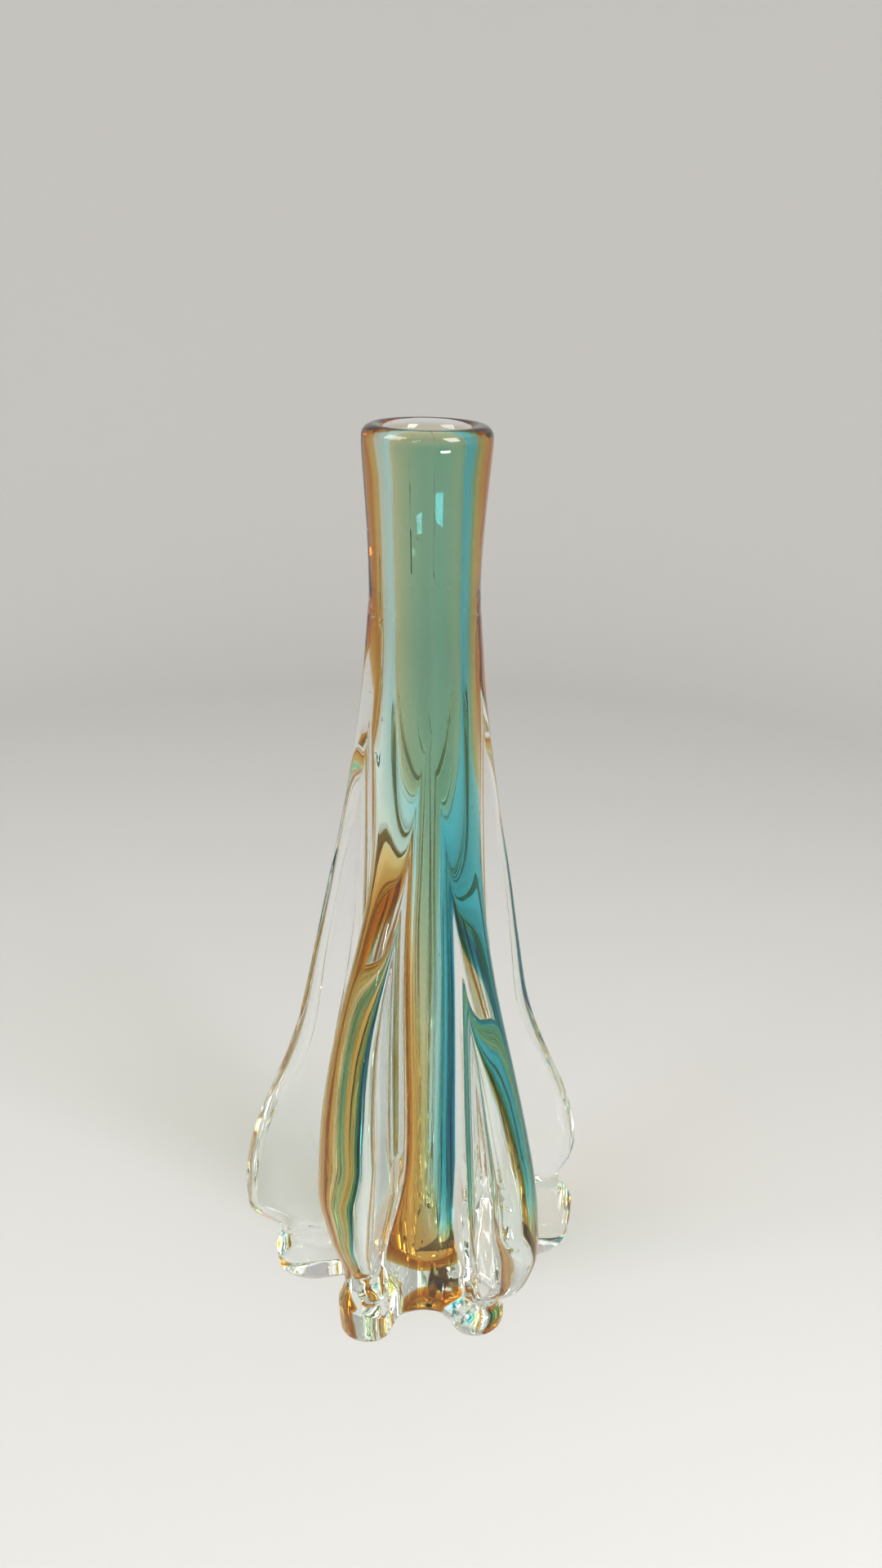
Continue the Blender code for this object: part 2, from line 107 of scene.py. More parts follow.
# Heights from the cup's foot to its rim, and its radius there between the neck's and the foot's
CUP_CURVE_SHARES = (
    (0.00, 1.00), (0.08, 0.97), (0.21, 0.74), (0.38, 0.46), (0.55, 0.23),
    (0.71, 0.08), (0.85, 0.00), (0.95, 0.08), (1.00, 0.55),
)
TWIST_LOW_SHARE = 0.26  # heights up the core where the colours start and end to twist round it
TWIST_HIGH_SHARE = 0.70
AMBER_EDGE_SHARE = 0.16  # softness of the edges of the thick amber, in the cosine of its half width
AMBER_FOOT_SHARE = 0.06  # height up the core, up to which the amber is thick all round
LIP_WIDEST_SHARE = 0.89  # height of the lip's widest ring up the neck
BELLY_UNDER_HEIGHT_SHARE = 0.55  # height from notch to belly where a fin's belly_under_share holds
SHOULDER_TOP_SHARE = 0.56  # height between belly and waist where a fin's shoulder ends
FOOT_TURN_SHARE = 0.30  # height up to the heel where the foot turns in
FOOT_TURN_REACH_SHARE = 0.75  # reach there, between the foot's and the heel's
FOOT_TWIST_HEIGHT_SHARE = 1.60  # height, in the pinch's, up to which a foot stands turned
MID_WEB_SHARE = 0.50  # height between belly and waist from which a fin keeps its web's thickness

# Low ridges left where the hot glass was drawn up: their count round, share of the height and start
DRAW_MARKS = ((5, 0.42, 0.4), (9, 0.28, 2.1), (14, 0.18, 4.4), (23, 0.12, 1.3))

FLANK_SLOPE_SHARE = 0.10  # how fast a fin's flanks draw in towards its root
OUTLINE_STEPS = 40
NEVER_ZERO = 1e-6

# Cords, the faint streaks up drawn glass, and smears, where its skin is less bright
CORDS_STRETCH = (1, 1, 0.18)
CORDS_NOISE = {"Scale": 120.0, "Detail": 2.0, "Roughness": 0.4}
CORDS_BUMP = {"Strength": 0.05, "Distance": 0.0006}
SMEARS_NOISE = {"Scale": 38.0, "Detail": 3.0}
SMEARS_ROUGHNESS = {"From_Min": 0.5, "From_Max": 0.8, "To_Min": 0.0, "To_Max": 0.035}


def number(name, description, default, **more):
    return FloatProperty(name=name, description=description, default=default, **more)


def length(name, description, default):
    """A property in metres, shown to a hundredth of a millimetre."""
    return number(name, description, default, unit="LENGTH", precision=5)


def numbers(name, description, default, **more):
    more["size"] = len(default)
    return FloatVectorProperty(name=name, description=description, default=default, **more)


class CasingSizes(PropertyGroup):
    """The clear casing."""

    height: length("Height", "Table to the top of the lip", CASING_HIGH.z)
    neck_length: length("Neck", "From where the fins end to the top of the lip", 0.0520)
    valley_radius: length("Valleys", "Radius between the fins, just above the base", 0.0320)
    waist_radius: length("Waist", "Radius where the fins end", 0.0184)
    lip_radius: length("Lip", "Radius of the lip", 0.0212)
    lip_round: length("Lip round", "Radius of the lip's rounded top", 0.0038)
    lip_flat: length("Lip flat", "Flat between the lip's two rounds", 0.0004)
    base_edge_round: length("Base edge", "Radius of the ground base's edge", 0.0030)
    belly_reach: length("Belly reach", "Widest reach of the fins", 0.0684)
    belly_height: length("Belly height", "Height of the widest reach", 0.0510)
    notch_reach: length("Notch reach", "Reach at the pinch under the belly", 0.0560)
    notch_height: length("Notch height", "Height of the pinch", 0.0230)
    heel_reach: length("Heel reach", "Reach of the heels", 0.0573)
    heel_height: length("Heel height", "Height of the heels", 0.0130)
    foot_reach: length("Foot reach", "Reach on the table", 0.0490)
    web_half: length("Web half", "Half thickness up the fins", 0.0065)
    belly_half: length("Belly half", "Half thickness of the fins at the belly", 0.0115)
    pinch_half: length("Pinch half", "Half thickness at the pinch", 0.0060)
    heel_half: length("Heel half", "Half thickness of the heels", 0.0098)
    root_blend: length("Root", "Rounding between fins and trunk at the waist", 0.0140)
    root_depth: length("Root depth", "How deep the fins end inside the waist", 0.0115)
    valley_blend: length("Groove", "Rounding between fins and trunk at the base", 0.0120)
    groove_bend: number("Groove bend", "How far the grooves bend out at the fins, in radii", 0.25)
    dent_depth: length("Dents", "Depth of the marks that the pinching left", 0.0016)
    dent_length: length("Dent length", "Length of those marks", 0.0150)
    dent_width: length("Dent width", "Width of those marks", 0.0058)
    draw_marks: length("Draw marks", "Height of the ridges left by drawing the glass", 0.00010)


class LayerSizes(PropertyGroup):
    """The amber cup, the turquoise sheet and the seeds."""

    bore_radius: length("Bore", "Radius of the bore in the neck", 0.0115)
    bore_foot_radius: length("Bore foot", "Radius of the bore at its foot", 0.0155)
    cup_wall: length("Cup wall", "Thickness of the amber where it is thin", 0.0004)
    cup_foot_radius: length("Cup foot", "Radius of the cup's foot where the amber is thin", 0.0159)
    cup_foot_round: length("Cup foot round", "Height of the round under the cup", 0.0080)
    amber_swell: number("Amber", "How much thicker the thick amber is, in the cup's radii", 0.20)
    amber_azimuths: numbers("Amber side", "Middle of the thick amber, low and high", (-100, -185))
    amber_half: number("Amber half", "Half the width of the thick amber, degrees", 95)
    core_lean: length("Lean", "How far the core's foot lies to the right of its mouth", 0.0050)
    cup_floor: length("Cup floor", "Thickness of the cup's floor", 0.0030)
    cup_low: length("Cup underside", "Height of the cup's underside", 0.0090)
    cup_rim: length("Cup rim", "Height of the cup's rim", 0.3407)
    cup_marks: length("Cup marks", "Height of the ridges on the amber", 0.00010)
    sheet_thickness: length("Sheet", "Thickness of the turquoise in the neck", 0.0022)
    sheet_foot_thickness: length("Sheet foot", "Thickness of the turquoise near its foot", 0.0040)
    sheet_edge: length("Sheet edge", "Thickness of its edges", 0.00008)
    sheet_foot_azimuths: numbers("Sheet foot sides", "Its start and end, low down", (-20, 118))
    sheet_top_azimuths: numbers("Sheet top sides", "Its start and end, in the neck", (-80, 82))
    sheet_top_drop: length("Sheet top drop", "Depth of its upper edge below the cup's rim", 0.0012)
    sheet_foot_rise: length("Sheet foot rise", "Its lower edge above the cup's underside", 0.0150)
    film: length("Film", "Clear glass kept between a colour and the bore", 0.00015)
    seed_count: IntProperty(name="Seeds", description="Tiny bubbles in the glass", default=46)
    seed_radius: length("Seed", "Radius of the largest seeds", 0.00042)


class GlassTints(PropertyGroup):
    """What each colour of glass takes off light, for each metre of it."""

    index: number("Index", "Refractive index of the glass", 1.50)
    clear: numbers("Clear", "Absorption of the clear glass, 1/m", (2.2, 1.4, 2.0))
    turquoise: numbers("Turquoise", "That of the turquoise glass", (540, 140, 90))
    amber: numbers("Amber", "That of the amber glass", (34, 102, 290))


class StudioSettings(PropertyGroup):
    """The floor, the lamps and the camera."""

    floor_colour: numbers("Floor", "Colour of floor and cove", (0.60, 0.59, 0.57), subtype="COLOR")
    floor_radius: length("Floor radius", "Radius of the flat floor", 0.75)
    cove_round: length("Cove", "Radius of the cove's bend", 0.40)
    cove_height: length("Wall", "Height of the cove's wall", 1.30)
    key_power: number("Key", "Power of the soft box, watts", 12.0)
    fill_power: number("Fill", "Power of the fill lamp, watts", 8.4)
    window_power: number("Window", "Power of the small window, watts", 0.55)
    window_size: numbers("Window size", "Its width and height", (0.16, 0.024), unit="LENGTH")
    window_place: numbers("Window place", "Its middle", (0.26, -0.42, 0.255), unit="LENGTH")
    sky_strength: number("Ceiling", "Light from over the cove", 0.30)
    sky_shown: number("Ceiling seen", "Brightness over the cove, as seen", 0.85)
    camera_place: numbers("Camera", "Place of the camera", (0.007, -0.4006, 0.3906), unit="LENGTH")
    camera_pitch: number("Pitch", "Degrees below the horizon", 23.3)
    camera_roll: number("Roll", "Degrees of roll", 1.4)
    camera_lens: number("Lens", "Focal length on a 36 mm long side, mm", 28.125)


def smooth_curve(points):
    """A smooth function through points of rising x that never overshoots them: a monotone cubic."""
    x, y = np.array(points, float).T
    step = np.diff(x)
    slope = np.diff(y) / step
    tangent = np.zeros_like(y)
    for i in range(1, len(x) - 1):
        if slope[i - 1] * slope[i] > 0:
            before, after = 2 * step[i] + step[i - 1], step[i] + 2 * step[i - 1]
            tangent[i] = (before + after) / (before / slope[i - 1] + after / slope[i])
    tangent[0], tangent[-1] = slope[0], slope[-1]

    def value(at):
        at = np.clip(at, x[0], x[-1])
        i = np.clip(np.searchsorted(x, at, side="right") - 1, 0, len(step) - 1)
        t = (at - x[i]) / step[i]
        return (
            y[i] * (1 + 2 * t) * (1 - t) ** 2
            + y[i + 1] * t * t * (3 - 2 * t)
            + tangent[i] * step[i] * t * (1 - t) ** 2
            - tangent[i + 1] * step[i] * t * t * (1 - t)
        )

    return value


def between(low, high, share):
    return low + (high - low) * share


def smoothstep(share):
    share = np.clip(share, 0, 1)
    return share * share * (3 - 2 * share)


def trunk_curve(casing):
    """Radius of the casing between the fins, by height."""
    waist = casing.height - casing.neck_length
    points = [
        (between(0, waist, rise), between(casing.waist_radius, casing.valley_radius, out))
        for rise, out in TRUNK_CURVE_SHARES
    ]
    points.append((waist + casing.neck_length * LIP_WIDEST_SHARE, casing.lip_radius))
    return smooth_curve(points)


def reach_curve(casing, fin):
    """How far the edge of one fin stands from the axis, by height."""
    waist = casing.height - casing.neck_length
    belly = casing.belly_reach * fin.belly_reach_share
    heel = casing.heel_reach * fin.heel_reach_share
    foot = casing.foot_reach * fin.foot_reach_share
    notch = casing.notch_reach * fin.notch_reach_share
    notch_height = casing.notch_height * fin.notch_height_share
    heel_height = casing.heel_height * fin.notch_height_share
    belly_height = casing.belly_height * fin.belly_height_share
    points = [
        (0, foot),
        (heel_height * FOOT_TURN_SHARE, between(foot, heel, FOOT_TURN_REACH_SHARE)),
        (heel_height, heel),
        (notch_height, notch),
        (
            between(notch_height, belly_height, BELLY_UNDER_HEIGHT_SHARE),
            between(notch, belly, fin.belly_under_share),
        ),
    ]
    root = casing.waist_radius - casing.root_depth * fin.root_share
    for rise, out in REACH_CURVE_SHARES:
        swell = fin.shoulder_share * np.sin(np.pi * min(rise / SHOULDER_TOP_SHARE, 1)) ** 2
        points.append((between(belly_height, waist, rise), between(root, belly, out + swell)))
    return smooth_curve(points)


def half_curve(casing, fin):
    """Half the thickness of one fin, by height."""
    waist = casing.height - casing.neck_length
    belly_height = casing.belly_height * fin.belly_height_share
    web = casing.web_half * fin.thickness_share
    points = [
        (0, casing.heel_half),
        (casing.heel_height * fin.notch_height_share, casing.heel_half),
        (casing.notch_height * fin.notch_height_share, casing.pinch_half),
        (belly_height, casing.belly_half * fin.thickness_share),
        (between(belly_height, waist, MID_WEB_SHARE), web),
        (waist, web),
    ]
    return smooth_curve(points)


def smooth_max(first, second, blend):
    """The larger of two lengths, with their corner rounded over the length blend."""
    near = np.maximum(blend - np.abs(first - second), 0) / blend
    return np.maximum(first, second) + near * near * blend / 4


def fin_outline(angle, reach, half, nose):
    """Distance from the axis to the face of a fin at an angle from its middle. The fin's edge is
    half an ellipse nose long, and its flanks draw in towards its root."""
    turn = np.linspace(0, np.pi / 2, OUTLINE_STEPS)
    behind = np.linspace(nose, max(reach - NEVER_ZERO, nose + NEVER_ZERO), OUTLINE_STEPS)[1:]
    out = reach - np.concatenate([nose * (1 - np.cos(turn)), behind])
    thick = np.concatenate([half * np.sin(turn), half - FLANK_SLOPE_SHARE * (behind - nose)])
    place = np.arctan2(thick, out)
    return np.interp(np.abs(angle), place, np.hypot(thick, out), right=0)


def draw_marks(azimuth, height, ridge):
    """Low ridges that run up the drawn glass."""
    return ridge * sum(
        part * np.sin(count * azimuth + start + count * height)
        for count, part, start in DRAW_MARKS
    )


def ring_of(radius, azimuths, height):
    """Points round the axis, at one height."""
    x, y = radius * np.sin(azimuths), -radius * np.cos(azimuths)
    return np.stack([x, y, np.full_like(x, height)], axis=1)


class CasingForm:
    """The outside of the clear casing, from its sizes."""

    DENSE = 360  # points worked out for half a fin's section
    HALF_FIN_POINTS = 24  # points that the mesh gets of them

    def __init__(self, casing, lean):
        self.casing = casing
        self.lean = lean
        self.trunk = trunk_curve(casing)
        self.reaches = [reach_curve(casing, fin) for fin in FINS]
        self.halves = [half_curve(casing, fin) for fin in FINS]
        middles = sorted(fin.azimuth for fin in FINS)
        round_again = [*middles[1:], middles[0] + 360]
        valleys = [(here + following) / 2 for here, following in zip(middles, round_again)]
        self.stops = sorted([*middles, *valleys])
        knots = [(here, 1) for here in middles] + [(here, 0) for here in valleys]
        knots = sorted((place + turn, kind) for place, kind in knots for turn in (-360, 0, 360))
        self.knots = np.radians([place for place, _ in knots])
        self.kinds = np.array([kind for _, kind in knots])

    def off_valley(self, azimuth):
        """How far a groove's floor has bent out: 0 in its middle and 1 at a fin."""
        off = np.interp((azimuth + np.pi) % (2 * np.pi) - np.pi, self.knots, self.kinds)
        return (1 - np.cos(np.pi * off)) / 2

    def radius(self, azimuth, height):
        casing = self.casing
        waist = casing.height - casing.neck_length
        low = 1 - smoothstep(height / waist)
        trunk = self.trunk(height)
        leaned = self.lean * max(1 - height / waist, 0) * np.sin(azimuth)
        radius = trunk * (1 + casing.groove_bend * low * self.off_valley(azimuth)) + leaned
        blend = between(casing.root_blend, casing.valley_blend, low)
        for fin, reach, half in zip(FINS, self.reaches, self.halves):
            up = height / (casing.notch_height * FOOT_TWIST_HEIGHT_SHARE)
            turned = fin.foot_twist * (1 - smoothstep(up))
            angle = azimuth - np.radians(fin.azimuth + turned)
            angle = (angle + np.pi) % (2 * np.pi) - np.pi
            outline = fin_outline(angle, reach(height), half(height), half(height) * fin.nose_share)
            radius = smooth_max(radius, outline, blend)
        return radius

    def ring(self, height, inset=0.0):
        """One section: each half of each fin has as many points, closer together where it turns."""
        ring = []
        for start, end in zip(self.stops, [*self.stops[1:], self.stops[0] + 360]):
            azimuth = np.radians(np.linspace(start, end, self.DENSE))
            radius = self.radius(azimuth, height) - inset
            x, y = radius * np.sin(azimuth), -radius * np.cos(azimuth)
            run = np.hypot(np.diff(x), np.diff(y))
            turn = np.abs(np.diff(np.unwrap(np.arctan2(np.diff(y), np.diff(x))), prepend=0))
            turn[0] = 0
            along = np.concatenate([[0], np.cumsum(run + turn * self.casing.belly_half)])
            wanted = np.linspace(0, along[-1], self.HALF_FIN_POINTS + 1)[:-1]
            ring.append(np.stack([np.interp(wanted, along, side) for side in (x, y)], axis=1))
        ring = np.concatenate(ring)
        return np.column_stack([ring, np.full(len(ring), height)])


def grid_normals(grid):
    """Outward normals of rings of points that rise and run round with the azimuth."""
    around = np.roll(grid, -1, axis=1) - np.roll(grid, 1, axis=1)
    normal = np.cross(around, np.gradient(grid, axis=0))
    return normal / np.linalg.norm(normal, axis=2, keepdims=True)


def leaf(along, across):
    """A leaf-shaped hollow, 1 deep in its middle and 0 past its edge. The first measure is 1 at its
    tips, and the second at its widest."""
    width = np.maximum(1 - along**2, NEVER_ZERO)
    return smoothstep(1 - np.abs(across) / width) * (np.abs(along) < 1)


class Dent(NamedTuple):
    """One mark of the pinching tool on a fin's flank."""

    fin: int
    side: int  # 1 towards higher azimuths, -1 towards lower ones
    reach_share: float  # place between the axis and the notch's edge
    height_share: float  # in heights of the fin's notch
    lean: float  # degrees from upright, leaning out
    length_share: float
    width_share: float


DENTS = (
    Dent(5, 1, 0.82, 1.25, 38, 0.60, 0.55),
    Dent(0, 1, 0.80, 0.62, 14, 1.25, 1.00),
    Dent(0, 1, 0.66, 2.60, 6, 1.60, 0.90),
    Dent(1, -1, 0.76, 1.60, -18, 1.00, 1.00),
    Dent(1, 1, 0.80, 1.40, 20, 0.90, 0.80),
    Dent(2, -1, 0.84, 0.98, 30, 0.60, 0.60),
    Dent(2, 1, 0.84, 0.98, 30, 0.70, 0.70),
    Dent(3, -1, 0.80, 1.10, 24, 1.00, 0.90),
    Dent(3, 1, 0.82, 0.90, 20, 0.80, 0.80),
    Dent(4, -1, 0.80, 1.05, 28, 0.90, 0.80),
    Dent(4, 1, 0.84, 1.10, 16, 0.80, 0.70),
    Dent(5, -1, 0.80, 1.10, 26, 0.90, 0.80),
    Dent(0, -1, 0.80, 0.95, 22, 0.90, 0.80),
)


def dent_depths(casing, grid):
    """How deep the pinching marks lie at each point of the casing's outside."""
    depths = np.zeros(grid.shape[:2])
    for dent in DENTS:
        fin = FINS[dent.fin]
        a = np.radians(fin.azimuth)
        reach = casing.notch_reach * fin.notch_reach_share * dent.reach_share
        height = casing.notch_height * fin.notch_height_share * dent.height_share
        out = grid[..., 0] * np.sin(a) - grid[..., 1] * np.cos(a) - reach
        off = grid[..., 0] * np.cos(a) + grid[..., 1] * np.sin(a)
        up = grid[..., 2] - height
        lean = np.radians(dent.lean)
        along = out * np.sin(lean) + up * np.cos(lean)
        across = out * np.cos(lean) - up * np.sin(lean)
        half_length = casing.dent_length * dent.length_share / 2
        half_width = casing.dent_width * dent.width_share / 2
        mark = leaf(along / half_length, across / half_width)
        flank = (off * dent.side > 0) & (np.abs(off) < 2 * casing.belly_half)
        depths = np.maximum(depths, casing.dent_depth * dent.width_share * mark * flank)
    return depths


def core_curve(layers, neck, foot, foot_top):
    """Radius by height of a side that widens from neck to foot, between foot_top and the rim."""
    points = [
        (between(foot_top, layers.cup_rim, rise), between(neck, foot, out))
        for rise, out in CUP_CURVE_SHARES
    ]
    return smooth_curve(points)


def core_side(layers, neck, foot, low, steps, round_steps):
    """That side and the round under it: (radius, height) from the rim down to the pole at low."""
    foot_top = low + layers.cup_foot_round
    radius = core_curve(layers, neck, foot, foot_top)
    heights = np.linspace(layers.cup_rim, foot_top, steps)
    side = [(float(radius(height)), float(height)) for height in heights]
    for turn in np.linspace(0, np.pi / 2, round_steps + 1)[1:]:
        side.append((foot * np.cos(turn), foot_top - layers.cup_foot_round * np.sin(turn)))
    side[-1] = (0, low)
    return side


def cup_side(layers, grown_by, steps, round_steps):
    """The outside of the amber cup where it is thin, grown by a length."""
    neck = layers.bore_radius + layers.cup_wall + grown_by
    foot = layers.cup_foot_radius + grown_by
    return core_side(layers, neck, foot, layers.cup_low - grown_by, steps, round_steps)


def bore_side(layers, film, steps, round_steps):
    """The bore, grown by film into the amber."""
    neck, foot = layers.bore_radius + film, layers.bore_foot_radius + film
    low = layers.cup_low + layers.cup_floor - film
    return core_side(layers, neck, foot, low, steps, round_steps)


def twisted(share):
    """How far the colours have twisted at a share of the core's height, between 0 and 1."""
    return smoothstep((share - TWIST_LOW_SHARE) / (TWIST_HIGH_SHARE - TWIST_LOW_SHARE))


def amber_thickness(layers, azimuth, height):
    """How thick the amber is, between 0 where it is thin and 1 on its thick side."""
    foot_top = layers.cup_low + layers.cup_foot_round
    share = np.clip((height - foot_top) / (layers.cup_rim - foot_top), 0, 1)
    middle = np.radians(between(*layers.amber_azimuths, twisted(share)))
    edge = np.cos(np.radians(layers.amber_half))
    side = np.cos(azimuth - middle) - edge + AMBER_EDGE_SHARE
    side = smoothstep(side / (2 * AMBER_EDGE_SHARE))
    return np.maximum(side, 1 - smoothstep(share / AMBER_FOOT_SHARE))


def core_lean(layers):
    """The move that leans the cup, the sheet and the bore."""
    lean = Matrix.Identity(4)
    drop = layers.cup_rim - layers.cup_low
    lean[0][2] = -layers.core_lean / drop
    lean[0][3] = layers.core_lean * layers.cup_rim / drop
    return lean


def new_object(name, data, collection=bpy.context.scene.collection):
    made = bpy.data.objects.new(name, data)
    collection.objects.link(made)
    return made


def smooth_mesh(name, points, faces):
    mesh = bpy.data.meshes.new(name)
    mesh.from_pydata(points, [], faces)
    mesh.shade_smooth()
    return mesh


def lofted_mesh(name, rings, low_pole, high_pole):
    """A closed mesh through rings of equal count, with a fan to a pole at each end."""
    count = rings.shape[1]
    points = [*rings.reshape(-1, 3).tolist(), low_pole, high_pole]
    here = np.arange(len(rings) - 1)[:, None] * count + np.arange(count)[None]
    following = np.roll(here, -1, axis=1)
    quads = np.stack([here, following, following + count, here + count], axis=2)
    faces = quads.reshape(-1, 4).tolist()
    low, high = len(points) - 2, len(points) - 1
    last = (len(rings) - 1) * count
    for i in range(count):
        faces.append((low, (i + 1) % count, i))
        faces.append((high, last + i, last + (i + 1) % count))
    return smooth_mesh(name, points, faces)


def place(name, mesh, material, slot, *nodes):
    """Makes a finished mesh a piece of the vase, which stands for those nodes."""
    piece = new_object(name, mesh, VASE)
    mesh.materials.clear()
    mesh.materials.append(material)
    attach(piece, "root")
    if nodes:
        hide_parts(*nodes)


class NodeBench:
    """Adds nodes to a tree, and links them, in few words."""

    def __init__(self, tree):
        self.tree = tree

    def feed(self, socket, value):
        """Gives an input a socket, a node's first output or a plain value."""
        if isinstance(value, bpy.types.Node):
            value = value.outputs[0]
        if isinstance(value, bpy.types.NodeSocket):
            self.tree.links.new(value, socket)
        else:
            socket.default_value = value

    def add(self, kind, **values):
        """Adds a node. Names in small letters are its settings. The others are inputs, with
        underlines for spaces."""
        node = self.tree.nodes.new(kind)
        for name, value in values.items():
            if name.islower():
                setattr(node, name, value)
            else:
                self.feed(node.inputs[name.replace("_", " ")], value)
        return node

    def maths(self, operation, first, second=0.0):
        node = self.add("ShaderNodeMath", operation=operation)
        self.feed(node.inputs[0], first)
        self.feed(node.inputs[1], second)
        return node

    def times(self, product, *factors):
        for factor in factors:
            product = self.maths("MULTIPLY", product, factor)
        return product

    def eased(self, value, **ends):
        """A value taken from one range to another, smoothly at both ends."""
        return self.add("ShaderNodeMapRange", interpolation_type="SMOOTHSTEP", Value=value, **ends)


def new_material(name):
    material = bpy.data.materials.new(name)
    material.use_nodes = True
    material.node_tree.nodes.clear()
    return material, NodeBench(material.node_tree)


def absorb(bench, taken):
    """A plain Volume Absorption that takes off so much red, green and blue for each metre."""
    density = max(taken)
    colour = (*(1 - t / density for t in taken), 1)
    return bench.add("ShaderNodeVolumeAbsorption", Color=colour, Density=density)


def clear_glass(tints):
    """Fire-polished clear glass with faint cords in it. Rays from lamps go straight through."""
    material, bench = new_material("clear_glass")
    spot = bench.add("ShaderNodeTexCoord").outputs["Object"]
    drawn = bench.add("ShaderNodeMapping", Vector=spot, Scale=CORDS_STRETCH)
    cords = bench.add("ShaderNodeTexNoise", Vector=drawn, **CORDS_NOISE)
    smears = bench.add("ShaderNodeTexNoise", Vector=spot, **SMEARS_NOISE)
    glass = bench.add(
        "ShaderNodeBsdfPrincipled",
        Base_Color=(1, 1, 1, 1),
        IOR=tints.index,
        Transmission_Weight=1.0,
        Roughness=bench.add("ShaderNodeMapRange", Value=smears, **SMEARS_ROUGHNESS),
        Normal=bench.add("ShaderNodeBump", Height=cords, **CORDS_BUMP),
    )
    path = bench.add("ShaderNodeLightPath").outputs
    lamps = bench.maths("MAXIMUM", path["Is Shadow Ray"], path["Is Diffuse Ray"])
    mix = bench.add("ShaderNodeMixShader")
    for socket, source in zip(mix.inputs, (lamps, glass, bench.add("ShaderNodeBsdfTransparent"))):
        bench.feed(socket, source)
    bench.add("ShaderNodeOutputMaterial", Surface=mix, Volume=absorb(bench, tints.clear))
    return material


def coloured_glass(name, taken):
    """Glass fused inside other glass: its faces neither bend light nor throw it back, and its
    depth tints it."""
    material, bench = new_material(name)
    through = bench.add("ShaderNodeBsdfTransparent")
    bench.add("ShaderNodeOutputMaterial", Surface=through, Volume=absorb(bench, taken))
    return material


def seed_glass(tints):
    """The wall of a bubble: air inside glass."""
    material, bench = new_material("seed")
    wall = bench.add("ShaderNodeBsdfGlass", Color=(1, 1, 1, 1), Roughness=0.0, IOR=1 / tints.index)
    bench.add("ShaderNodeOutputMaterial", Surface=wall)
    return material


class VASE_OT_clear_casing(Operator):
    """Draw out the clear casing: fins, feet, neck, lip and the face of the bore"""

    bl_idname = "vase.clear_casing"
    bl_label = "Clear casing"

    HEIGHT_STEPS = 190
    EDGE_STEPS = 6
    LIP_STEPS = 9
    BORE_STEPS = 90
    FOOT_STEPS = 14
    BASE_INSET_SHARES = (0.15, 0.35, 0.60, 0.85)  # rings of the flat base, inwards from its edge
    MOUTH_ROUNDS = 4  # the bore widens to the lip from so many lip rounds below the cup's rim

    def rings(self, casing, layers):
        form = CasingForm(casing, layers.core_lean)
        edge = casing.base_edge_round * (1 - np.cos(np.linspace(0, np.pi / 2, self.EDGE_STEPS + 1)))
        top = casing.height - casing.neck_length * (1 - LIP_WIDEST_SHARE)
        side = np.linspace(edge[-1], top, self.HEIGHT_STEPS + 1)[1:]
        outside = []
        for height in [*edge, *side]:
            rise = max(1 - height / casing.base_edge_round, 0)
            inset = casing.base_edge_round * (1 - np.sqrt(1 - rise * rise))
            outside.append(form.ring(height, inset))
        outside = np.array(outside)
        normals = grid_normals(outside)
        azimuth = np.arctan2(outside[..., 0], -outside[..., 1])
        lift = smoothstep(outside[..., 2] / casing.notch_height)
        marks = draw_marks(azimuth, outside[..., 2], casing.draw_marks) * lift
        moved = (marks - dent_depths(casing, outside))[..., None] * normals
        moved[..., 2] = np.where(outside[..., 2] < casing.base_edge_round, 0, moved[..., 2])
        outside = outside + moved
        base = [outside[0] * (*(1 - share,) * 2, 1) for share in self.BASE_INSET_SHARES[::-1]]
        lip = self.lip(casing, azimuth[-1])
        return np.concatenate([base, outside, lip, self.bore(casing, layers, azimuth[-1])])

    def lip(self, casing, azimuths):
        crown = casing.height - casing.lip_round
        outer = casing.lip_radius - casing.lip_round
        inner = outer - casing.lip_flat
        up = np.linspace(0, np.pi / 2, self.LIP_STEPS + 1)[1:]
        down = np.linspace(np.pi / 2, 0, self.LIP_STEPS + 1)[:-1]
        arcs = [(outer + casing.lip_round * np.cos(turn), turn) for turn in up]
        arcs += [(inner - casing.lip_round * np.cos(turn), turn) for turn in down]
        return [
            ring_of(radius, azimuths, crown + casing.lip_round * np.sin(turn))
            for radius, turn in arcs
        ]

    def bore(self, casing, layers, azimuths):
        mouth = casing.lip_radius - 2 * casing.lip_round - casing.lip_flat
        crown = casing.height - casing.lip_round
        side = bore_side(layers, 0, self.BORE_STEPS, self.FOOT_STEPS)
        lean = core_lean(layers)
        rings = []
        taper = crown - layers.cup_rim + self.MOUTH_ROUNDS * casing.lip_round
        for radius, height in side:
            share = smoothstep((height - (crown - taper)) / taper)
            radius = between(radius, mouth, share)
            height = between(height, crown, share) if height > crown - taper else height
            if radius > 0:
                off = (1 - share) * (lean[0][2] * height + lean[0][3])
                rings.append(ring_of(radius, azimuths, height) + [off, 0, 0])
        return np.array(rings)

    def execute(self, context):
        scene = context.scene
        casing, layers = scene.vase_casing, scene.vase_layers
        rings = self.rings(casing, layers)
        pole = core_lean(layers) @ Vector((0, 0, layers.cup_low + layers.cup_floor))
        mesh = lofted_mesh("clear_casing_glass", rings, (0, 0, 0), tuple(pole))
        glass = clear_glass(scene.vase_tints)
        place("clear_casing_glass", mesh, glass, "clear_glass", "clear_casing")
        return {"FINISHED"}


def new_tree(name, inputs):
    """A Geometry Nodes tree with those inputs, its bench and the sockets that give their values."""
    tree = bpy.data.node_groups.new(name, "GeometryNodeTree")
    for label, kind in inputs.items():
        tree.interface.new_socket(label, in_out="INPUT", socket_type="NodeSocket" + kind)
    tree.interface.new_socket("Geometry", in_out="OUTPUT", socket_type="NodeSocketGeometry")
    bench = NodeBench(tree)
    return tree, bench, bench.add("NodeGroupInput").outputs


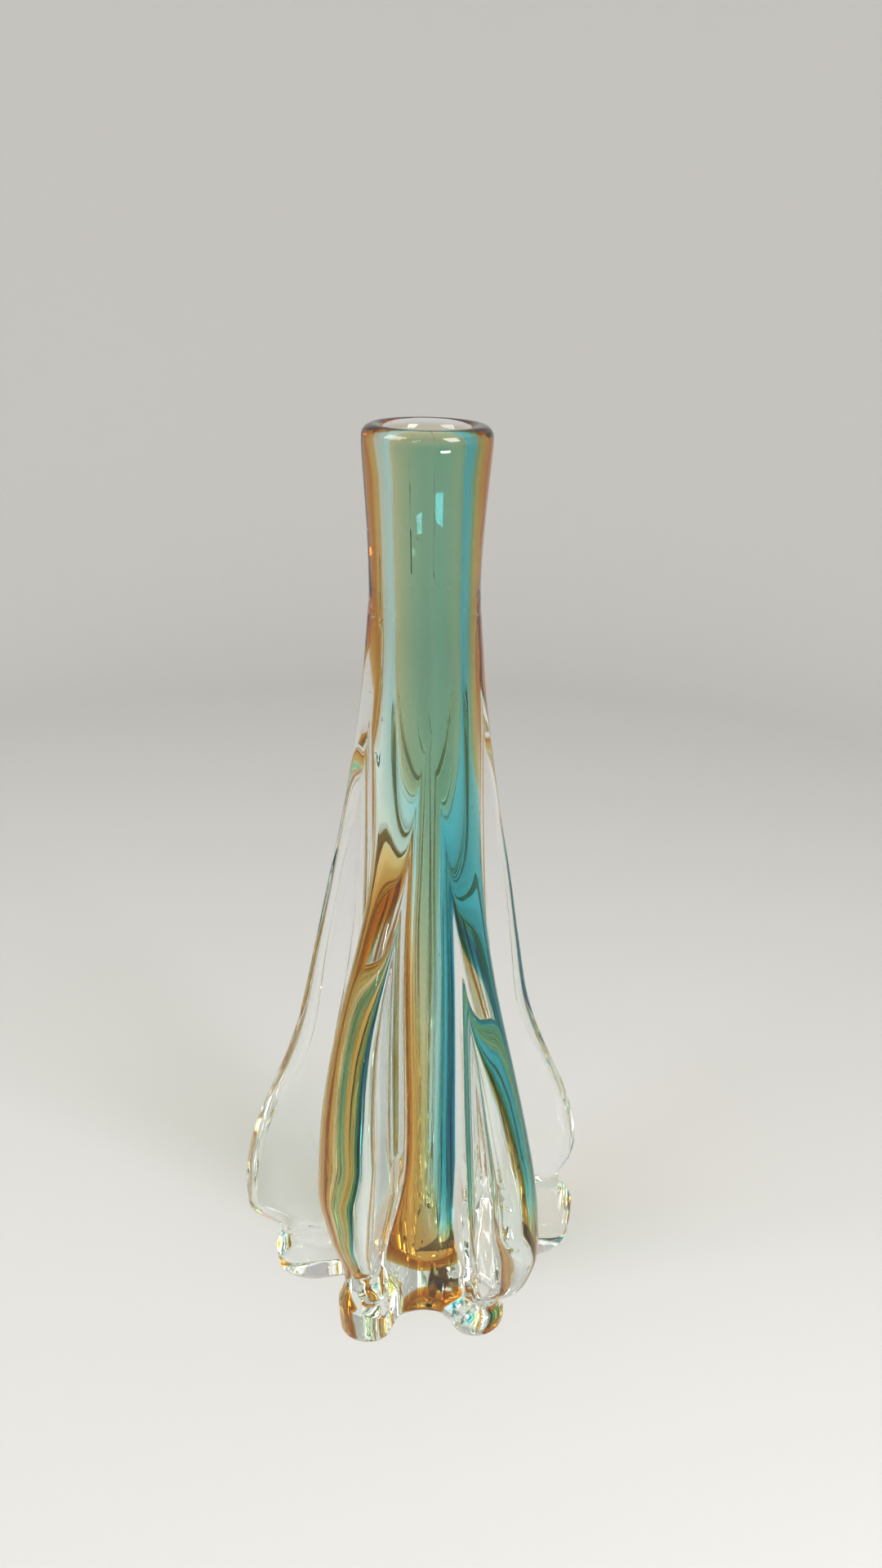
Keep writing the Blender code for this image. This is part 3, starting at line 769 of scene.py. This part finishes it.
def end_tree(bench, geometry, glass):
    """Ends a tree: smooth faces, made real, of that glass."""
    smooth = bench.add("GeometryNodeSetShadeSmooth", Geometry=geometry)
    real = bench.add("GeometryNodeRealizeInstances", Geometry=smooth)
    dressed = bench.add("GeometryNodeSetMaterial", Geometry=real, Material=glass)
    bench.feed(bench.add("NodeGroupOutput").inputs[0], dressed)


TURNING_INPUTS = {
    "Profile": "Geometry",
    "Rings": "Int",
    "Steps": "Int",
    "Ridges": "Float",
    "Twist": "Float",
    "Foot Height": "Float",
    "Rim Height": "Float",
    "Swell": "Float",
    "Foot Side": "Float",
    "Neck Side": "Float",
    "Side Edge": "Float",
    "Glass": "Material",
}
# Shares of a profile, which starts in the bore, where it passes over the rim to the outside
OUTSIDE_SHARES = {"From_Min": 0.497, "From_Max": 0.507}
POLE_RADIUS = 0.012  # within which the ridges fade out towards a pole
MERGE_DISTANCE = 0.00002


def turning_tree():
    """Geometry Nodes that turn a profile of points (radius, 0, height) into a body, with ridges
    and thicker glass on its outside."""
    tree, bench, given = new_tree("turned_glass", TURNING_INPUTS)
    maths, times, eased = bench.maths, bench.times, bench.eased
    sheet = bench.add("GeometryNodeMeshGrid", Size_X=1.0, Size_Y=1.0)
    bench.feed(sheet.inputs["Vertices X"], given["Rings"])
    bench.feed(sheet.inputs["Vertices Y"], given["Steps"])
    at = bench.add("ShaderNodeSeparateXYZ", Vector=bench.add("GeometryNodeInputPosition")).outputs
    share = maths("ADD", at["X"], 0.5)
    azimuth = times(maths("ADD", at["Y"], 0.5), 2 * np.pi)
    profile = bench.add("GeometryNodeMeshToCurve", Mesh=given["Profile"])
    sample = bench.add(
        "GeometryNodeSampleCurve", mode="FACTOR", use_all_curves=True, Curves=profile, Factor=share
    )
    point = bench.add("ShaderNodeSeparateXYZ", Vector=sample.outputs["Position"]).outputs
    radius, height = point["X"], point["Z"]
    outside = eased(share, **OUTSIDE_SHARES)

    ridges = 0.0
    turned = maths("SUBTRACT", azimuth, times(height, given["Twist"]))
    for count, part, start in DRAW_MARKS:
        wave = maths("SINE", maths("ADD", times(turned, float(count)), start))
        ridges = maths("ADD", times(wave, part), ridges)
    ridges = times(ridges, given["Ridges"], outside, eased(radius, From_Max=POLE_RADIUS))

    low, high = given["Foot Height"], given["Rim Height"]
    risen = bench.add("ShaderNodeMapRange", Value=height, From_Min=low, From_Max=high)
    low, high = given["Foot Side"], given["Neck Side"]
    twist = {"From_Min": TWIST_LOW_SHARE, "From_Max": TWIST_HIGH_SHARE}
    middle = eased(risen, To_Min=low, To_Max=high, **twist)
    side = eased(
        maths("COSINE", maths("SUBTRACT", azimuth, middle)),
        From_Min=maths("SUBTRACT", given["Side Edge"], AMBER_EDGE_SHARE),
        From_Max=maths("ADD", given["Side Edge"], AMBER_EDGE_SHARE),
    )
    foot = eased(risen, From_Max=AMBER_FOOT_SHARE, To_Min=1.0, To_Max=0.0)
    thick = times(maths("MAXIMUM", side, foot), given["Swell"], outside)

    radius = maths("ADD", times(radius, maths("ADD", thick, 1.0)), ridges)
    x = times(radius, maths("SINE", azimuth))
    y = times(radius, maths("COSINE", azimuth), -1.0)
    spot = bench.add("ShaderNodeCombineXYZ", X=x, Y=y, Z=height)
    moved = bench.add("GeometryNodeSetPosition", Geometry=sheet, Position=spot)
    closed = bench.add("GeometryNodeMergeByDistance", Geometry=moved, Distance=MERGE_DISTANCE)
    end_tree(bench, closed, given["Glass"])
    return tree


SEEDING_INPUTS = {
    "Surface": "Geometry",
    "Density": "Float",
    "Radius": "Float",
    "Depth": "Float",
    "Seed": "Int",
    "Glass": "Material",
}
SMALLEST_SEED_SHARE = 0.3  # of the largest
SEED_STRETCH = 1.6  # their height, in widths: the drawn glass made them long


def seeding_tree():
    """Geometry Nodes that scatter drawn-out bubbles just outside a surface."""
    tree, bench, given = new_tree("seeds", SEEDING_INPUTS)
    seed, density = given["Seed"], given["Density"]
    spots = bench.add(
        "GeometryNodeDistributePointsOnFaces", Mesh=given["Surface"], Density=density, Seed=seed
    )
    # Inputs 2 and 3 of a Random Value are a number's least and most, and output 1 is the number
    depth = bench.add("FunctionNodeRandomValue", Seed=seed)
    bench.feed(depth.inputs[3], given["Depth"])
    offset = bench.add("ShaderNodeVectorMath", operation="SCALE", Scale=depth.outputs[1])
    bench.feed(offset.inputs[0], spots.outputs["Normal"])
    moved = bench.add("GeometryNodeSetPosition", Geometry=spots, Offset=offset)
    ball = bench.add("GeometryNodeMeshIcoSphere", Radius=given["Radius"], Subdivisions=2)
    size = bench.add("FunctionNodeRandomValue", Seed=seed)
    bench.feed(size.inputs[2], SMALLEST_SEED_SHARE)
    wide = size.outputs[1]
    tall = bench.times(wide, SEED_STRETCH)
    drawn = bench.add("ShaderNodeCombineXYZ", X=wide, Y=wide, Z=tall)
    balls = bench.add("GeometryNodeInstanceOnPoints", Points=moved, Instance=ball, Scale=drawn)
    end_tree(bench, balls, given["Glass"])
    return tree


def grown(name, source, tree, values):
    """A plain mesh that a Geometry Nodes tree makes of a source mesh."""
    maker = new_object(name + "_maker", source)
    modifier = maker.modifiers.new(tree.name, "NODES")
    modifier.node_group = tree
    inputs = {item.name: item.identifier for item in tree.interface.items_tree}
    for key, value in values.items():
        modifier[inputs[key]] = value
    evaluated = maker.evaluated_get(bpy.context.evaluated_depsgraph_get())
    mesh = bpy.data.meshes.new_from_object(evaluated)
    mesh.name = name
    bpy.data.objects.remove(maker)
    return mesh


class VASE_OT_amber_cup(Operator):
    """Turn the amber cup round the bore"""

    bl_idname = "vase.amber_cup"
    bl_label = "Amber cup"

    PROFILE_STEPS = 60
    ROUND_STEPS = 12
    RINGS = 280
    STEPS = 129
    TWIST = 2.6  # of its ridges, in radians for each metre

    def execute(self, context):
        scene = context.scene
        layers = scene.vase_layers
        bore = bore_side(layers, layers.film, self.PROFILE_STEPS, self.ROUND_STEPS)
        side = cup_side(layers, 0, self.PROFILE_STEPS, self.ROUND_STEPS)
        points = [(radius, 0, height) for radius, height in bore[::-1] + side]
        profile = bpy.data.meshes.new("cup_profile")
        profile.from_pydata(points, [(i, i + 1) for i in range(len(points) - 1)], [])
        glass = coloured_glass("amber_glass", scene.vase_tints.amber)
        values = {
            "Rings": self.RINGS,
            "Steps": self.STEPS,
            "Ridges": layers.cup_marks,
            "Twist": self.TWIST,
            "Foot Height": layers.cup_low + layers.cup_foot_round,
            "Rim Height": layers.cup_rim,
            "Swell": layers.amber_swell,
            "Foot Side": np.radians(layers.amber_azimuths[0]),
            "Neck Side": np.radians(layers.amber_azimuths[1]),
            "Side Edge": np.cos(np.radians(layers.amber_half)),
            "Glass": glass,
        }
        mesh = grown("amber_cup_glass", profile, turning_tree(), values)
        mesh.transform(core_lean(layers))
        place("amber_cup_glass", mesh, glass, "amber_glass", "amber_cup")
        return {"FINISHED"}


class VASE_OT_turquoise_sheet(Operator):
    """Lay the turquoise sheet round the front of the cup"""

    bl_idname = "vase.turquoise_sheet"
    bl_label = "Turquoise sheet"

    SEGMENTS = 40
    SECTIONS = 110
    SKEW = 1.6  # how much nearer to its right edge the sheet is thickest: 1 would be its middle
    FOOT_FADE_SHARE = 0.12  # heights over which it thins out to its lower and upper edges
    TOP_FADE_SHARE = 0.006
    THIN_SHARE = 0.60  # height up the sheet where it is as thin as in the neck
    MARKS_SHARE = 0.30  # depth of its ridges, in its thickness
    SEAT_GAP = 0.00020  # between the amber and the sheet

    def execute(self, context):
        scene = context.scene
        layers = scene.vase_layers
        seat = self.SEAT_GAP + layers.cup_marks
        foot_top = layers.cup_low + layers.cup_foot_round
        neck = layers.bore_radius + layers.cup_wall + seat
        radius = core_curve(layers, neck, layers.cup_foot_radius + seat, foot_top)
        low = layers.cup_low + layers.sheet_foot_rise
        high = layers.cup_rim - layers.sheet_top_drop
        rings = []
        for height in np.linspace(low, high, self.SECTIONS):
            inner = float(radius(height))
            share = (height - low) / (high - low)
            ends = zip(layers.sheet_foot_azimuths, layers.sheet_top_azimuths)
            start, end = np.radians([between(foot, top, twisted(share)) for foot, top in ends])
            azimuths = np.linspace(start, end, self.SEGMENTS + 1)
            across = np.sin(np.pi * np.linspace(0, 1, self.SEGMENTS + 1) ** self.SKEW)
            along = min(share / self.FOOT_FADE_SHARE, (1 - share) / self.TOP_FADE_SHARE, 1)
            thinned = smoothstep(share / self.THIN_SHARE)
            middle = between(layers.sheet_foot_thickness, layers.sheet_thickness, thinned)
            marks = draw_marks(azimuths, height, middle * self.MARKS_SHARE)
            thickness = between(layers.sheet_edge, middle, across * along) + marks * across * along
            inner = inner * (1 + layers.amber_swell * amber_thickness(layers, azimuths, height))
            back = ring_of(inner + thickness, azimuths, height)
            rings.append(np.concatenate([back, ring_of(inner, azimuths, height)[::-1]]))
        rings = np.array(rings)
        poles = [tuple(rings[i].mean(axis=0)) for i in (0, -1)]
        mesh = lofted_mesh("turquoise_sheet_glass", rings, *poles)
        mesh.transform(core_lean(layers))
        glass = coloured_glass("turquoise_glass", scene.vase_tints.turquoise)
        place("turquoise_sheet_glass", mesh, glass, "turquoise_glass", "turquoise_sheet")
        return {"FINISHED"}


class VASE_OT_seeds(Operator):
    """Scatter the seeds, the tiny bubbles in the glass round the cup"""

    bl_idname = "vase.seeds"
    bl_label = "Seeds"

    DEPTH = 0.0040  # how far out from the cup they lie at most
    SEED = 7
    SIDE_STEPS = 40
    ROUND_STEPS = 2
    TURN_STEPS = 32
    BARE_STEPS = 4  # steps below the rim that hold no seeds

    def execute(self, context):
        scene = context.scene
        layers = scene.vase_layers
        grown_by = layers.sheet_thickness + layers.cup_marks
        side = cup_side(layers, grown_by, self.SIDE_STEPS, self.ROUND_STEPS)
        side = side[self.BARE_STEPS : self.SIDE_STEPS]
        turns = np.linspace(0, 2 * np.pi, self.TURN_STEPS + 1)[:-1]
        rings = np.array([ring_of(radius, turns, height) for radius, height in side[::-1]])
        poles = [(0, 0, float(rings[i][0][2])) for i in (0, -1)]
        source = lofted_mesh("seed_surface", rings, *poles)
        area = sum(face.area for face in source.polygons)
        glass = seed_glass(scene.vase_tints)
        values = {
            "Density": layers.seed_count / area,
            "Radius": layers.seed_radius,
            "Depth": self.DEPTH - layers.sheet_thickness,
            "Seed": self.SEED,
            "Glass": glass,
        }
        mesh = grown("seeds", source, seeding_tree(), values)
        place("seeds", mesh, glass, "clear_glass")
        return {"FINISHED"}


class VASE_OT_studio(Operator):
    """Set the pale cove, the lamps and the camera"""

    bl_idname = "vase.studio"
    bl_label = "Studio"

    COVE_STEPS = 128
    BEND_STEPS = 16
    CLEARANCE = 0.0002  # between the floor and the vase
    KEY_SIZE = (0.45, 0.70)
    KEY_PLACE = (0.70, -0.60, 0.95)
    FILL_SIZE = (0.60, 0.60)
    FILL_PLACE = (-0.75, -0.35, 0.90)

    def cove(self, studio):
        bend = np.linspace(0, np.pi / 2, self.BEND_STEPS + 1)
        out = studio.floor_radius + studio.cove_round * np.sin(bend)
        up = studio.cove_round * (1 - np.cos(bend))
        profile = [*zip(out, up), (studio.floor_radius + studio.cove_round, studio.cove_height)]
        turns = np.linspace(0, 2 * np.pi, self.COVE_STEPS + 1)[:-1]
        points = [(0, 0, -self.CLEARANCE)]
        for radius, height in profile:
            points.extend(ring_of(radius, turns, height - self.CLEARANCE).tolist())
        faces = []
        for i in range(self.COVE_STEPS):
            j = (i + 1) % self.COVE_STEPS
            faces.append((0, 1 + i, 1 + j))
            for ring in range(len(profile) - 1):
                here, above = 1 + ring * self.COVE_STEPS, 1 + (ring + 1) * self.COVE_STEPS
                faces.append((here + i, above + i, above + j, here + j))
        mesh = smooth_mesh("cove", points, faces)
        cove = new_object("cove", mesh)
        material, bench = new_material("pale_cove")
        matt = bench.add("ShaderNodeBsdfPrincipled", Roughness=0.9, Specular_IOR_Level=0.1)
        bench.feed(matt.inputs["Base Color"], (*studio.floor_colour, 1))
        bench.add("ShaderNodeOutputMaterial", Surface=matt)
        mesh.materials.append(material)

    def lamp(self, name, power, size, place_at, target):
        data = bpy.data.lights.new(name, "AREA")
        data.shape = "RECTANGLE"
        data.size, data.size_y = size
        data.energy = power
        lamp = new_object(name, data)
        way = Vector((np.array(target) - np.array(place_at)).tolist())
        turned = way.to_track_quat("-Z", "Y").to_matrix().to_4x4()
        lamp.matrix_world = Matrix.Translation(place_at) @ turned
        lamp.visible_camera = False

    def execute(self, context):
        scene = context.scene
        studio = scene.vase_studio
        self.cove(studio)
        aim = (0, 0, scene.vase_casing.height / 2)
        self.lamp("key", studio.key_power, self.KEY_SIZE, self.KEY_PLACE, aim)
        self.lamp("fill", studio.fill_power, self.FILL_SIZE, self.FILL_PLACE, aim)
        size, spot = tuple(studio.window_size), tuple(studio.window_place)
        self.lamp("window", studio.window_power, size, spot, (0, 0, spot[2]))
        world = bpy.data.worlds.new("ceiling")
        world.use_nodes = True
        bench = NodeBench(world.node_tree)
        path = bench.add("ShaderNodeLightPath").outputs
        seen = bench.maths("MAXIMUM", path["Is Camera Ray"], path["Is Glossy Ray"])
        seen = bench.maths("MAXIMUM", seen, path["Is Transmission Ray"])
        low, high = studio.sky_strength, studio.sky_shown
        strength = bench.add("ShaderNodeMapRange", Value=seen, To_Min=low, To_Max=high)
        sky = world.node_tree.nodes["Background"].inputs
        bench.feed(sky["Color"], (1, 1, 1, 1))
        bench.feed(sky["Strength"], strength)
        scene.world = world
        data = bpy.data.cameras.new("camera")
        data.lens = studio.camera_lens
        data.clip_start = 0.01
        camera = new_object("camera", data)
        camera.matrix_world = (
            Matrix.Translation(studio.camera_place)
            @ Matrix.Rotation(np.radians(90 - studio.camera_pitch), 4, "X")
            @ Matrix.Rotation(np.radians(studio.camera_roll), 4, "Z")
        )
        scene.camera = camera
        scene.view_settings.view_transform = "Standard"
        cycles = scene.cycles
        cycles.max_bounces = 32
        cycles.transmission_bounces = 24
        cycles.glossy_bounces = 12
        cycles.transparent_max_bounces = 64
        cycles.volume_bounces = 0
        cycles.caustics_reflective = False
        cycles.caustics_refractive = False
        return {"FINISHED"}


class VASE_PT_sidebar(Panel):
    """Lists the vase's operators and sizes"""

    bl_label = "Cased glass vase"
    bl_idname = "VASE_PT_sidebar"
    bl_space_type = "VIEW_3D"
    bl_region_type = "UI"
    bl_category = "Vase"

    def draw(self, context):
        for operator in OPERATORS:
            self.layout.operator(operator.bl_idname)
        for group in GROUPS:
            box = self.layout.box()
            box.label(text=group)
            settings = getattr(context.scene, group)
            for name in settings.bl_rna.properties.keys():
                if name not in {"rna_type", "name"}:
                    box.prop(settings, name)


GROUPS = {
    "vase_casing": CasingSizes,
    "vase_layers": LayerSizes,
    "vase_tints": GlassTints,
    "vase_studio": StudioSettings,
}
OPERATORS = (
    VASE_OT_clear_casing,
    VASE_OT_turquoise_sheet,
    VASE_OT_amber_cup,
    VASE_OT_seeds,
    VASE_OT_studio,
)
CLASSES = (*GROUPS.values(), *OPERATORS, VASE_PT_sidebar)


def register():
    for cls in CLASSES:
        bpy.utils.register_class(cls)
    for name, cls in GROUPS.items():
        setattr(bpy.types.Scene, name, PointerProperty(type=cls))


def unregister():
    for name in GROUPS:
        delattr(bpy.types.Scene, name)
    for cls in reversed(CLASSES):
        bpy.utils.unregister_class(cls)


def main():
    register()
    bpy.ops.vase.studio()
    bpy.ops.vase.clear_casing()
    bpy.ops.vase.turquoise_sheet()
    bpy.ops.vase.amber_cup()
    bpy.ops.vase.seeds()


if __name__ == "__main__":
    main()
